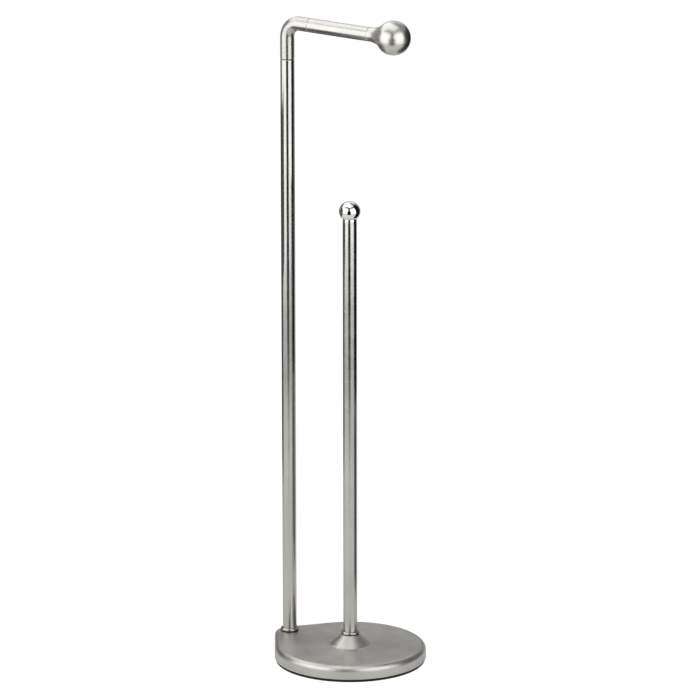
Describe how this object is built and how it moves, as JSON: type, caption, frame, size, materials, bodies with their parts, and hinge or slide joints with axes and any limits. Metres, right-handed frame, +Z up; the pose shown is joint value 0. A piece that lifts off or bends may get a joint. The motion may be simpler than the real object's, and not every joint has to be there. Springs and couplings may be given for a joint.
{
  "type": "toilet roll stand",
  "caption": "Floor-standing toilet-roll stand: weighted base with a nose, tall post with a ball-ended arm that swivels, and a shorter ball-topped post for spare rolls.",
  "frame": {"origin": "on the floor, in the middle of the pad's underside below the reserve post's axis", "axes": "+Z up along the posts; +X from the tall post towards the reserve post, the way the arm points at rest; Y across"},
  "size_m": [0.1673, 0.152, 0.661],
  "materials": {
    "brushed_nickel": "fine brushed satin, grain round each tube and across the base",
    "polished_chrome": "mirror polish",
    "plated_fastener": "bright zinc plate",
    "pad_rubber": "matt black foam rubber",
    "weight_iron": "as cast",
    "bush_nylon": "black nylon"
  },
  "bodies": {
    "stand": {"base_cover": "brushed_nickel", "post_cone": "brushed_nickel", "base_weight": "weight_iron", "base_pad": "pad_rubber", "post_bolts": "plated_fastener", "post_bolt_washers": "plated_fastener", "post_bolt_lock_washers": "plated_fastener", "tall_post_tube": "brushed_nickel", "tall_post_foot_ring": "polished_chrome", "tall_post_foot_plug": "plated_fastener", "swivel_bush": "bush_nylon", "reserve_post_tube": "brushed_nickel", "reserve_post_foot_ring": "polished_chrome", "reserve_post_foot_plug": "plated_fastener", "reserve_post_top_plug": "plated_fastener", "reserve_ball_stud": "plated_fastener", "reserve_ball": "polished_chrome"},
    "arm": {"swivel_pin": "plated_fastener", "swivel_flat_washer": "plated_fastener", "swivel_spring_washer": "plated_fastener", "swivel_lock_nut": "plated_fastener", "elbow": "brushed_nickel", "arm_tube": "brushed_nickel", "arm_tie_rod": "plated_fastener", "ball_end": "brushed_nickel"}
  },
  "joints": [
    {"name": "arm_swivel", "type": "hinge", "parent": "stand", "child": "arm", "pos_m": [-0.076, 0, 0.607], "axis": [0, 0, 1], "continuous": true}
  ]
}
